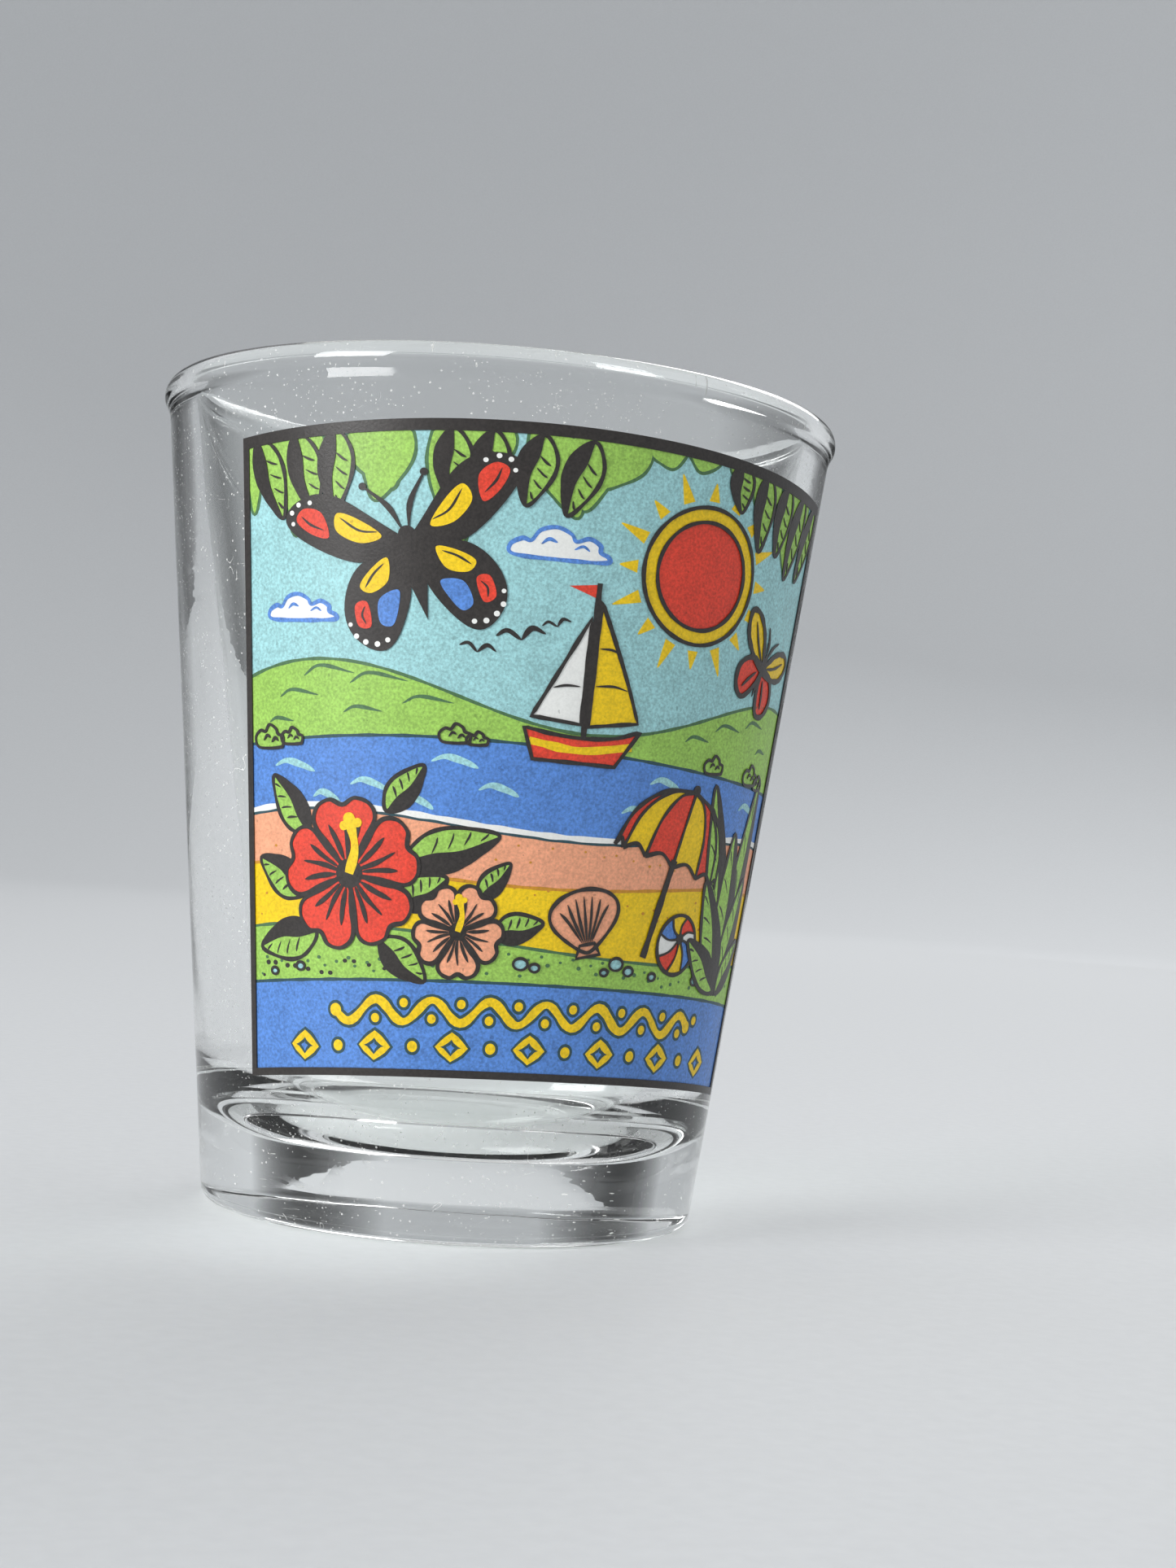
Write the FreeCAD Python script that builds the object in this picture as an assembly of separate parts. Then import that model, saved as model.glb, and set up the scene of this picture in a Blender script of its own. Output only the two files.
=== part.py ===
import FreeCAD, Part
import math
import os
from FreeCAD import Vector
from Part import Geom2d

# A pressed-glass shot glass with a printed panel fired on its wall.
# Millimetres, +Z up. The origin is the middle of the face it stands on, and the panel faces -Y.
# The glass is one solid. Each ink of the panel is a thin film that wraps the tapered wall.

# ---- glass: driving sizes ----
glass_height = 57.0
rim_radius = 24.0            # widest place, at the bead of the rim
bead_proud = 0.35            # how far the bead stands out from the line of the wall
lip_radius = 1.15            # the rim is melted to a full round of this radius
neck_radius = 2.6            # hollow curve that leads from the wall into the bead
foot_radius = 17.2           # line of the outer wall where it meets the table
foot_edge_radius = 1.0
base_thickness = 5.1         # solid glass under the middle of the cavity
cavity_foot_radius = 13.2    # line of the inner wall where it meets the cavity's floor
cavity_fillet = 7.0          # the floor sweeps up into the inner wall
standing_ring_width = 2.2    # flat ring that the glass stands on
recess_depth = 0.5           # the underside is pressed in within the ring
recess_draft = 50.0          # degrees that the recess's edge leans from upright

# ---- printed panel: driving sizes ----
ink_thickness = 0.05
ink_clearance = 0.03         # between the glass and the underprint, and between layers of ink
panel_half_angle = 59.5      # degrees each side of -Y
panel_bottom = 11.0          # above the table, at the middle of the panel's bottom edge
panel_below_rim = 4.7        # from the rim down to the middle of its top edge
panel_bow = 1.3              # the edges drop this much from the middle to the sides
border_top = 0.75
border_side = 0.5
border_bottom = 0.5

# ---- printed picture: driving sizes ----
# The fields lie one on the other, from the plain band along the bottom up to the hills.
band_depth = 6.2
ground_depth = 2.8
sand_depth = 4.2
beach_depth = 3.2
sea_depth = 5.0
hills_depth = 3.2
sun_radius = 3.5
sun_across = 8.6             # from the panel's middle
sun_below_top = 8.0          # from the panel's top edge down to the sun's middle
butterfly_across = -9.6
butterfly_below_top = 9.2
butterfly_turn = 16.0        # degrees anticlockwise

# ---- sizes that follow ----
lip_centre_height = glass_height - lip_radius
wall_rise = (rim_radius - bead_proud - foot_radius) / lip_centre_height
taper = math.atan(wall_rise)
ring_inner_radius = foot_radius - foot_edge_radius - standing_ring_width
recess_radius = ring_inner_radius - recess_depth * math.tan(math.radians(recess_draft))
panel_top = glass_height - panel_below_rim
panel_middle_radius = foot_radius + wall_rise * (panel_bottom + panel_top) / 2
half_width = math.radians(panel_half_angle) * panel_middle_radius
panel_foot = panel_bottom / math.cos(taper)
panel_height = (panel_top - panel_bottom) / math.cos(taper)
ground_height = band_depth + ground_depth
sand_height = ground_height + sand_depth
beach_height = sand_height + beach_depth
sea_height = beach_height + sea_depth
hills_height = sea_height + hills_depth


# ---- glass ----
def in_section(radius, height):
    return Vector(radius, 0, height)


def unit(vector):
    return vector / vector.Length


def arc_about(centre, start, end):
    """The short arc from start to end about centre."""
    middle = centre + unit(unit(start - centre) + unit(end - centre)) * (start - centre).Length
    return Part.Arc(start, middle, end).toShape()


def line(start, end):
    return Part.LineSegment(start, end).toShape()


def rounded_corner(before, corner, after, radius):
    """Start, centre and end of the arc that rounds the corner between two straight lines."""
    back = unit(before - corner)
    on = unit(after - corner)
    half = back.getAngle(on) / 2
    reach = radius / math.tan(half)
    centre = corner + unit(back + on) * (radius / math.sin(half))
    return corner + back * reach, centre, corner + on * reach


def glass_section():
    """Half of the tumbler's section, from the underside round the rim to the cavity's floor."""
    lip_centre = in_section(rim_radius - lip_radius, lip_centre_height)
    wall_foot = in_section(foot_radius, 0)
    wall_end = in_section(rim_radius - bead_proud, lip_centre_height)
    up_wall = unit(wall_end - wall_foot)
    out_of_wall = in_section(up_wall.z, -up_wall.x)

    # The neck arc touches the wall's line and the lip's round.
    off_line = wall_end + out_of_wall * neck_radius - lip_centre
    along = off_line.dot(up_wall)
    off_squared = off_line.Length ** 2 - (neck_radius + lip_radius) ** 2
    slide = -along - math.sqrt(along ** 2 - off_squared)
    neck_centre = wall_end + out_of_wall * neck_radius + up_wall * slide
    neck_on_wall = neck_centre - out_of_wall * neck_radius
    neck_on_lip = lip_centre + unit(neck_centre - lip_centre) * lip_radius

    # The inner wall runs from its foot to touch the inside of the lip.
    cavity_foot = in_section(cavity_foot_radius, base_thickness)
    to_lip = lip_centre - cavity_foot
    lean = math.atan2(to_lip.x, to_lip.z) - math.asin(lip_radius / to_lip.Length)
    inner_run = math.sqrt(to_lip.Length ** 2 - lip_radius ** 2)
    lip_inside = cavity_foot + in_section(math.sin(lean), math.cos(lean)) * inner_run

    ring_inner = in_section(ring_inner_radius, 0)
    foot_start, foot_centre, foot_end = rounded_corner(ring_inner, wall_foot, wall_end, foot_edge_radius)
    floor_middle = in_section(0, base_thickness)
    sweep_start, sweep_centre, sweep_end = rounded_corner(lip_inside, cavity_foot, floor_middle, cavity_fillet)
    recess_middle = in_section(0, recess_depth)
    recess_edge = in_section(recess_radius, recess_depth)
    edges = [
        line(recess_middle, recess_edge),
        line(recess_edge, ring_inner),
        line(ring_inner, foot_start),
        arc_about(foot_centre, foot_start, foot_end),
        line(foot_end, neck_on_wall),
        arc_about(neck_centre, neck_on_wall, neck_on_lip),
        Part.Arc(neck_on_lip, lip_centre + in_section(0, lip_radius), lip_inside).toShape(),
        line(lip_inside, sweep_start),
        arc_about(sweep_centre, sweep_start, sweep_end),
        line(sweep_end, floor_middle),
        line(floor_middle, recess_middle),
    ]
    return Part.Face(Part.Wire(edges))


def glass_tumbler():
    return glass_section().revolve(Vector(0, 0, 0), Vector(0, 0, 1), 360)


# ---- flat drawing of the panel ----
# The panel is drawn flat: x runs round the wall from the panel's middle, measured at the panel's
# middle height, and y runs up the slope of the wall from the middle of the panel's bottom edge.
def at(x, y):
    return Vector(x, y, 0)


def drop(x):
    """How far a level line of the drawing has dropped at x."""
    return panel_bow * (x / half_width) ** 2


def level(y, reach):
    """A level line of the drawing, bowed like the panel's edges, from -reach to reach."""
    return Part.Arc(at(-reach, y - drop(reach)), at(0, y), at(reach, y - drop(reach)))


def strip(bottom, top, reach):
    """The part of the panel between two level lines."""
    lower = level(bottom, reach)
    upper = level(top, reach)
    right = line(lower.EndPoint, upper.EndPoint)
    left = line(upper.StartPoint, lower.StartPoint)
    return Part.Face(Part.Wire([lower.toShape(), right, upper.toShape(), left]))


def curve_through(points):
    curve = Part.BSplineCurve()
    curve.interpolate([at(*p) for p in points])
    return curve.toShape()


def rolling_field(height, swell, waves, start):
    """All of the drawing below a rolling line. Waves are counted over its width, start in waves."""
    reach = half_width * 1.1
    point_count = 9
    points = []
    for index in range(point_count):
        share = index / (point_count - 1)
        x = reach * (2 * share - 1)
        roll = swell * math.sin(2 * math.pi * (start + waves * share))
        points.append((x, height - drop(x) + roll))
    low_right = at(reach, -2 * panel_bow)
    low_left = at(-reach, -2 * panel_bow)
    right = line(at(*points[-1]), low_right)
    left = line(low_left, at(*points[0]))
    return Part.Face(Part.Wire([curve_through(points), right, line(low_right, low_left), left]))


def disc(radius):
    return Part.Face(Part.Wire(Part.Circle(at(0, 0), Vector(0, 0, 1), radius).toShape()))


def butterfly():
    """A butterfly's silhouette from above, its head towards +y and its body on the origin."""
    fore_wing = [(0.5, 2.2), (2.3, 4.1), (5.4, 6.0), (7.4, 5.2), (5.9, 2.7), (3.0, 1.0)]
    hind_wing = [(3.0, 1.0), (4.7, -0.8), (4.8, -3.3), (3.0, -4.7), (1.5, -3.4), (0.5, -1.2)]
    tail = at(0, -3.4)
    edges = [Part.Arc(at(-0.5, 2.2), at(0, 2.6), at(0.5, 2.2)).toShape()]
    for side in (-1, 1):
        for wing in (fore_wing, hind_wing):
            edges.append(curve_through([(side * x, y) for x, y in wing]))
        edges.append(line(at(side * 0.5, -1.2), tail))
    return Part.Face(Part.Wire(Part.__sortEdges__(edges)))


def placed(shape, x, y, turn=0.0):
    """A shape turned anticlockwise by turn degrees, and moved to x and y of the drawing."""
    copy = shape.copy()
    copy.rotate(Vector(0, 0, 0), Vector(0, 0, 1), turn)
    copy.translate(at(x, y - drop(x)))
    return copy


def colour_fields():
    """Every colour with the flat shape it fills. Each field hides what was printed before it."""
    panel = strip(0, panel_height, half_width)
    painted = [
        ("light_blue_ink", panel),
        ("red_ink", placed(disc(sun_radius), sun_across, panel_height - sun_below_top)),
        ("green_ink", rolling_field(hills_height, swell=2.2, waves=1.3, start=0.05)),
        ("deep_blue_ink", rolling_field(sea_height, swell=0.4, waves=0.8, start=0.1)),
        ("salmon_ink", rolling_field(beach_height, swell=0.9, waves=1.2, start=0.1)),
        ("yellow_ink", rolling_field(sand_height, swell=0.8, waves=1.1, start=0.2)),
        ("green_ink", rolling_field(ground_height, swell=0.9, waves=0.9, start=0.15)),
        ("deep_blue_ink", strip(0, band_depth, half_width)),
    ]
    shown = {}
    for index, (ink, shape) in enumerate(painted):
        field = shape.common(panel)
        later = [hiding for _, hiding in painted[index + 1:]]
        if later:
            field = field.cut(later)
        shown.setdefault(ink, []).extend(field.Faces)
    return shown


def key_shapes():
    """What the black ink prints: the border and the solid silhouettes."""
    frame = strip(0, panel_height, half_width)
    frame = frame.cut(strip(border_bottom, panel_height - border_top, half_width - border_side))
    silhouette = placed(butterfly(), butterfly_across, panel_height - butterfly_below_top, butterfly_turn)
    return frame.Faces + silhouette.Faces


# ---- films on the wall ----
def wall_surface(lift):
    """The tapered wall, lifted off the glass by lift. Its u is the angle from -Y and v the slope length."""
    rise = -lift * math.sin(taper)
    out = lift * math.cos(taper)
    low = Vector(0, 0, rise)
    high = Vector(0, 0, lip_centre_height + rise)
    return Part.Cone(low, high, foot_radius + out, rim_radius - bead_proud + out)


def on_wall(edge, surface):
    """An edge of the flat drawing, laid on a wall surface."""
    flat = edge.toNurbs().Edges[0]
    curve = flat.Curve.copy()
    curve.segment(*flat.ParameterRange)
    poles = [FreeCAD.Base.Vector2d(p.x / panel_middle_radius, p.y + panel_foot) for p in curve.getPoles()]
    wrapped = Geom2d.BSplineCurve2d()
    wrapped.buildFromPolesMultsKnots(poles, curve.getMultiplicities(), curve.getKnots(),
                                     False, curve.Degree, curve.getWeights())
    return wrapped.toShape(surface, wrapped.FirstParameter, wrapped.LastParameter)


def film(face, lower, upper):
    """A solid film in the shape of one flat face, from lower to upper off the glass."""
    skins = []
    outlines = []
    for lift in (lower, upper):
        surface = wall_surface(lift)
        wires = []
        for flat_wire in face.Wires:
            wires.append(Part.Wire([on_wall(edge, surface) for edge in flat_wire.OrderedEdges]))
        skin = Part.Face(surface, wires[0])
        skin.validate()
        if len(wires) > 1:
            skin.cutHoles(wires[1:])
            skin.validate()
        skins.append(skin)
        outlines.append(wires)
    for inner, outer in zip(*outlines):
        for inner_edge, outer_edge in zip(inner.Edges, outer.Edges):
            skins.append(Part.makeRuledSurface(inner_edge, outer_edge))
    shell = Part.makeShell(skins)
    shell.sewShape()
    return Part.Solid(shell)


def films(faces, layer):
    """Flat faces as films in one layer, counted from the glass."""
    lower = ink_clearance + (ink_thickness + ink_clearance) * layer
    return Part.makeCompound([film(face, lower, lower + ink_thickness) for face in faces])


def export(name, shape):
    shape.exportStep("parts/" + name + ".step")


os.makedirs("parts", exist_ok=True)
export("glass_tumbler", glass_tumbler())
export("white_underprint", films([strip(0, panel_height, half_width)], 0))
for ink, faces in colour_fields().items():
    export(ink, films(faces, 1))
export("black_key_ink", films(key_shapes(), 2))
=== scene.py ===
import math

import bpy
from mathutils import Matrix, Vector
from mathutils.geometry import delaunay_2d_cdt


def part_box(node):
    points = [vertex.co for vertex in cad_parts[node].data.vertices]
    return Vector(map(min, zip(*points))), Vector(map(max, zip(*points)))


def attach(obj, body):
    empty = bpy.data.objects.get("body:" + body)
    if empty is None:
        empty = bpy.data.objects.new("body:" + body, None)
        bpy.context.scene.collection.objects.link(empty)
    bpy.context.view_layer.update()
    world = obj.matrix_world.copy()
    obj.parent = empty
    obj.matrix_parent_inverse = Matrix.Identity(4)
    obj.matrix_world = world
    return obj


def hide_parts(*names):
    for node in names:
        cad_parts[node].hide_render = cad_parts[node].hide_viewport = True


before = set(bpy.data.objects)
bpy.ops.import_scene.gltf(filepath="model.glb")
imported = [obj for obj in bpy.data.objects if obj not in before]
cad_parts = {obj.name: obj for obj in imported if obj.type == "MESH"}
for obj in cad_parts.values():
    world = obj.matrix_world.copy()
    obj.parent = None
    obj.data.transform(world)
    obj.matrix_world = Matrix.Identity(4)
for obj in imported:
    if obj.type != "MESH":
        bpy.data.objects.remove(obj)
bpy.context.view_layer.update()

# ---- the tumbler ----
# One piece of clear soda-lime glass, pressed in a mould. Its base is thick, its wall tapers,
# and the rim is fire-polished to a full round with a slight bead.
mm = 0.001
glass_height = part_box("glass_tumbler")[1][2]
rim_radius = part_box("glass_tumbler")[1][0]
bead_proud = 0.35 * mm
lip_radius = 1.15 * mm
neck_radius = 2.6 * mm
foot_radius = 17.2 * mm
foot_edge_radius = 1.0 * mm
base_thickness = 5.1 * mm
cavity_foot_radius = 13.2 * mm
cavity_fillet = 7.0 * mm
standing_ring_width = 2.2 * mm
recess_depth = 0.5 * mm
recess_draft = math.radians(50.0)
pressed_edge_radius = 0.3 * mm
print_seat = 0.042 * mm      # the wall stands out by this, to bed the print's back in glass
segments_round = 288
long_run = 2.0 * mm
support_gap = 0.25 * mm
glass_tint = (0.978, 0.992, 0.985, 1.0)
shadow_tint = (0.96, 0.975, 0.965, 1.0)
dust_colour = (0.86, 0.86, 0.84, 1.0)

lip_centre_height = glass_height - lip_radius
wall_rise = (rim_radius - bead_proud - foot_radius) / lip_centre_height
taper = math.atan(wall_rise)


def section_arc(centre, start, end, steps):
    """Points of the short arc from start to end about centre, both ends included."""
    first = start - centre
    turn = first.angle_signed(end - centre)
    return [centre + Matrix.Rotation(-turn * i / steps, 2) @ first for i in range(steps + 1)]


def rounded(before, corner, after, radius, steps):
    """The arc that rounds the corner between two straight lines of the section."""
    back = (before - corner).normalized()
    on = (after - corner).normalized()
    half = back.angle(on) / 2
    centre = corner + (back + on).normalized() * radius / math.sin(half)
    reach = radius / math.tan(half)
    return section_arc(centre, corner + back * reach, corner + on * reach, steps)


def glass_section():
    """Half of the section as (radius, height) points, from under the middle to the cavity's floor."""
    lip_centre = Vector((rim_radius - lip_radius, lip_centre_height))
    wall_foot = Vector((foot_radius, 0))
    wall_end = Vector((rim_radius - bead_proud, lip_centre_height))
    up_wall = (wall_end - wall_foot).normalized()
    out_of_wall = Vector((up_wall.y, -up_wall.x))
    wall_foot = wall_foot + Vector((print_seat / out_of_wall.x, 0))
    wall_end = wall_end + out_of_wall * print_seat

    off_line = wall_end + out_of_wall * neck_radius - lip_centre
    along = off_line.dot(up_wall)
    slide = -along - math.sqrt(along ** 2 - off_line.length_squared + (neck_radius + lip_radius) ** 2)
    neck_centre = wall_end + out_of_wall * neck_radius + up_wall * slide
    neck_on_wall = neck_centre - out_of_wall * neck_radius
    neck_on_lip = lip_centre + (neck_centre - lip_centre).normalized() * lip_radius

    cavity_foot = Vector((cavity_foot_radius, base_thickness))
    to_lip = lip_centre - cavity_foot
    lean = math.atan2(to_lip.x, to_lip.y) - math.asin(lip_radius / to_lip.length)
    inner_run = math.sqrt(to_lip.length_squared - lip_radius ** 2)
    lip_inside = cavity_foot + Vector((math.sin(lean), math.cos(lean))) * inner_run

    ring_inner = Vector((foot_radius - foot_edge_radius - standing_ring_width, 0))
    recess_edge = ring_inner + Vector((-recess_depth * math.tan(recess_draft), recess_depth))
    recess_middle = Vector((0, recess_depth))
    floor_middle = Vector((0, base_thickness))
    lip_top = lip_centre + Vector((0, lip_radius))
    points = [recess_middle]
    points += rounded(recess_middle, recess_edge, ring_inner, pressed_edge_radius, steps=5)
    points += rounded(recess_edge, ring_inner, wall_foot, pressed_edge_radius, steps=5)
    points += rounded(ring_inner, wall_foot, wall_end, foot_edge_radius, steps=14)
    points += section_arc(neck_centre, neck_on_wall, neck_on_lip, steps=12)
    points += section_arc(lip_centre, neck_on_lip, lip_top, steps=16)[1:]
    points += section_arc(lip_centre, lip_top, lip_inside, steps=16)[1:]
    points += rounded(lip_inside, cavity_foot, floor_middle, cavity_fillet, steps=36)
    points += [floor_middle]
    return points


def with_supports(points):
    """Adds points near both ends of each long straight run, so that its shading stays straight."""
    supported = [points[0]]
    for start, end in zip(points, points[1:]):
        run = end - start
        if run.length > long_run:
            inward = run.normalized() * support_gap
            supported += [start + inward, end - inward]
        supported.append(end)
    return supported


def built(name, vertices, faces, material, smooth=False):
    """An object of the given mesh, in the scene."""
    mesh = bpy.data.meshes.new(name)
    mesh.from_pydata(vertices, [], faces)
    if smooth:
        mesh.shade_smooth()
    mesh.materials.append(material)
    made = bpy.data.objects.new(name, mesh)
    bpy.context.scene.collection.objects.link(made)
    return made


def turned(name, points, count, material):
    """A solid turned from a half section whose two ends lie on the axis."""
    vertices = []
    faces = []
    rings = points[1:-1]
    for radius, height in rings:
        for i in range(count):
            angle = 2 * math.pi * i / count
            vertices.append((radius * math.sin(angle), -radius * math.cos(angle), height))
    for low in range(0, (len(rings) - 1) * count, count):
        for i in range(count):
            j = (i + 1) % count
            faces.append((low + i, low + j, low + count + j, low + count + i))
    ends = [(points[0], 0), (points[-1], len(rings) - 1)]
    for (_, height), row in ends:
        vertices.append((0, 0, height))
        middle = len(vertices) - 1
        for i in range(count):
            j = (i + 1) % count
            fan = (middle, row * count + j, row * count + i)
            faces.append(fan if row == 0 else fan[::-1])
    return built(name, vertices, faces, material, smooth=True)


class Signal:
    """An output of a material's node. Plain arithmetic on it adds Math nodes."""

    def __init__(self, finish, socket):
        self.finish = finish
        self.socket = socket

    def out(self, name):
        """Another output of the same node."""
        return Signal(self.finish, self.socket.node.outputs[name])

    def math(self, operation, first, second):
        return self.finish.node("Math", {"operation": operation}, {0: first, 1: second})

    def __add__(self, other):
        return self.math("ADD", self, other)

    def __radd__(self, other):
        return self.math("ADD", other, self)

    def __sub__(self, other):
        return self.math("SUBTRACT", self, other)

    def __rsub__(self, other):
        return self.math("SUBTRACT", other, self)

    def __mul__(self, other):
        return self.math("MULTIPLY", self, other)

    def __rmul__(self, other):
        return self.math("MULTIPLY", other, self)

    def __gt__(self, other):
        return self.math("GREATER_THAN", self, other)

    def __lt__(self, other):
        return self.math("LESS_THAN", self, other)


class Finish:
    """A material built from nodes."""

    def __init__(self, name):
        self.material = bpy.data.materials.new(name)
        self.material.use_nodes = True
        self.material.node_tree.nodes.clear()

    def node(self, kind, settings=None, inputs=None):
        """Adds a node, its settings first, then the values or links of its sockets."""
        tree = self.material.node_tree
        made = tree.nodes.new("ShaderNode" + kind)
        for setting, value in (settings or {}).items():
            setattr(made, setting, value)
        for name, value in (inputs or {}).items():
            if isinstance(name, int):
                socket = made.inputs[name]
            else:
                socket = next(s for s in made.inputs if s.name == name and s.enabled)
            if isinstance(value, Signal):
                tree.links.new(value.socket, socket)
            else:
                socket.default_value = value
        return Signal(self, next((s for s in made.outputs if s.enabled), None))

    def noise(self, place, scale, detail=2.0, **more):
        """A noise pattern with so many repeats in a metre."""
        return self.node("TexNoise", {}, {"Vector": place, "Scale": scale, "Detail": detail, **more})

    def mixed(self, factor, first, second):
        """A colour between two others."""
        return self.node("Mix", {"data_type": "RGBA"}, {"Factor": factor, "A": first, "B": second})

    def show(self, shader):
        """Ends the material with its shader."""
        self.node("OutputMaterial", {}, {"Surface": shader})
        return self.material


def clear_glass():
    """Clear glass with the mould's slow waves, faint smears, and a little dust and lint."""
    finish = Finish("clear_pressed_glass")
    place = finish.node("TexCoord").out("Object")
    flattened = finish.node("Mapping", {}, {"Vector": place, "Scale": (1.0, 1.0, 5.0)})
    waves = finish.noise(place, 90.0, 1.0)
    ripples = finish.noise(flattened, 130.0)
    smears = finish.noise(place, 240.0, 4.0, Distortion=1.5)
    height = waves + 0.06 * ripples
    relief = finish.node("Bump", {}, {"Strength": 0.12, "Distance": 0.0006, "Height": height})
    glass = finish.node("BsdfPrincipled", {}, {
        "Base Color": glass_tint,
        "Roughness": 0.012 + 0.06 * (smears > 0.60),
        "IOR": 1.52,
        "Transmission Weight": 1.0,
        "Normal": relief,
    })

    def specks(cells, radius, least):
        """Dust in some of the cells of a fine pattern. Its radius is in parts of a cell."""
        grains = finish.node("TexVoronoi", {"feature": "F1"}, {"Vector": place, "Scale": cells})
        chance = finish.node("SeparateColor", {}, {"Color": grains.out("Color")})
        return (grains < radius) * (chance > least)

    strands = finish.noise(place, 330.0, 1.0, Distortion=0.8)
    patches = finish.noise(place, 640.0)
    lint = (strands > 0.4985) * (strands < 0.5015) * (patches > 0.63)
    settled = finish.noise(place, 210.0)
    coarse_dust = 0.6 * specks(1500.0, 0.11, 0.5)
    fine_dust = 0.6 * specks(2900.0, 0.12, 0.2) * (settled > 0.48)
    dust = finish.node("BsdfPrincipled", {}, {"Base Color": dust_colour, "Roughness": 0.9})
    dusty = finish.node("MixShader", {}, {0: coarse_dust + fine_dust + 0.5 * lint, 1: glass, 2: dust})

    # Light passes through the glass to the table and the print's back, less where it grazes the wall.
    straight = finish.node("BsdfTransparent", {}, {"Color": shadow_tint})
    shadow = finish.node("LightPath").out("Is Shadow Ray")
    grazing = finish.node("LayerWeight", {}, {"Blend": 0.5}).out("Facing")
    passing = shadow * (1 - 0.9 * grazing * grazing * grazing)
    return finish.show(finish.node("MixShader", {}, {0: passing, 1: dusty, 2: straight}))


tumbler = turned("pressed_tumbler", with_supports(glass_section()), segments_round, clear_glass())
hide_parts("glass_tumbler")
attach(tumbler, "root")

# ---- white underprint ----
# The first pass of the screen print: opaque white enamel, fired on the wall, so that the colours
# stay bright on clear glass. Seen from behind through the wall it is a plain white sheet.
inks = {}


def as_light(levels):
    """The light that a surface reflects, from its colour as a display writes it, 0 to 255."""
    shares = [level / 255 for level in levels]
    return (*[s / 12.92 if s <= 0.04 else ((s + 0.055) / 1.055) ** 2.4 for s in shares], 1.0)


def shaded(colour, share):
    """A colour made lighter or darker by a share."""
    return (*[min(1.0, c * share) for c in colour[:3]], 1.0)


def fired_ink(name, colour, grain, roughness):
    """Screen-printed enamel: satin, uneven from the mesh and the firing, with a few dark pinholes."""
    finish = Finish(name)
    place = finish.node("TexCoord").out("Object")
    fine = finish.noise(place, 5200.0, Roughness=0.6)
    cloud = finish.noise(place, 620.0, 4.0, Roughness=0.6)
    pits = finish.noise(place, 2300.0, 1.0)
    mottle = 2.6 * fine + 0.9 * cloud - 1.25
    tint = finish.mixed(mottle, shaded(colour, 1 - grain), shaded(colour, 1 + grain))
    tint = finish.mixed(0.5 * (pits > 0.745), tint, shaded(colour, 0.45))
    relief = finish.node("Bump", {}, {"Strength": 0.3, "Distance": 0.00003, "Height": fine})
    return finish.show(finish.node("BsdfPrincipled", {}, {
        "Base Color": tint,
        "Roughness": roughness + 0.12 * (cloud - 0.5),
        "Specular IOR Level": 0.45,
        "Normal": relief,
    }))


def add_ink(ink, levels, grain, roughness=0.42, fired_as=None, slot=None):
    """Adds an ink. Its material is named after it unless a name is given. The slot argument is not used.
    """
    inks[ink] = fired_ink(fired_as or ink + "_enamel", as_light(levels), grain, roughness)
    slot or ink + "_enamel"


def print_node(node, ink):
    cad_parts[node].material_slots[0].material = inks[ink]


add_ink("white", (236, 237, 233), 0.05, 0.5)
print_node("white_underprint", "white")

# ---- colour fields ----
# Six coloured enamels, screened in one pass each over the white and fired on. They share the
# panel between them edge to edge: sky, sun, hills, sea, beach, sand, ground and the lower band.
field_inks = [
    ("light_blue", (154, 203, 206), 0.24),
    ("green", (152, 196, 88), 0.24),
    ("salmon", (236, 164, 128), 0.17),
    ("yellow", (238, 200, 16), 0.16),
    ("deep_blue", (84, 132, 204), 0.28),
    ("red", (222, 66, 46), 0.22),
]
for ink, levels, grain in field_inks:
    add_ink(ink, levels, grain)
    print_node(ink + "_ink", ink)

# ---- key print ----
# The last pass, in black enamel, screened over the colours: the border round the panel and the
# solid silhouette of the large butterfly.
add_ink("black", (48, 44, 42), 0.30, 0.36)
print_node("black_key_ink", "black")

# ---- overlap lines ----
# Where two fields meet, their enamels overlap by a hair and fire to a darker line. All the fine
# drawing is screened with the fields. It is drawn flat, in millimetres across and up from the
# middle of the panel's bottom edge, and wrapped on the wall as thin solids.
panel_half_angle = math.radians(59.5)
panel_bottom = 11.0 * mm
panel_top = glass_height - 4.7 * mm
panel_bow = 1.3
panel_middle_radius = foot_radius + wall_rise * (panel_bottom + panel_top) / 2
panel_foot = panel_bottom / math.cos(taper)
half_width = panel_half_angle * panel_middle_radius / mm
under_border = 0.3
beach_top = (16.4, 0.9, 1.2, 0.1)
longest_step = 0.6
tip_share = 0.12             # how much of its width a pointed line keeps at its tips
drawn_film = 0.03 * mm
on_fields = 0.170 * mm       # how far off the glass the tops of these lines stand

add_ink("green_shadow", (74, 112, 74), 0.2, fired_as="green_over_blue", slot="green_enamel")
add_ink("blue_shadow", (44, 76, 84), 0.2, fired_as="yellow_over_blue", slot="deep_blue_enamel")
add_ink("ochre_shadow", (200, 140, 40), 0.15, fired_as="yellow_over_salmon", slot="yellow_enamel")


def drop(x):
    """How far a level line of the drawing has dropped at x."""
    return panel_bow * (x / half_width) ** 2


def on_wall(point, lift):
    """A point of the flat drawing on the wall, lifted off the glass."""
    angle = point.x * mm / panel_middle_radius
    slope = point.y * mm + panel_foot
    radius = foot_radius + slope * math.sin(taper) + lift * math.cos(taper)
    height = slope * math.cos(taper) - lift * math.sin(taper)
    return (radius * math.sin(angle), -radius * math.cos(angle), height)


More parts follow.
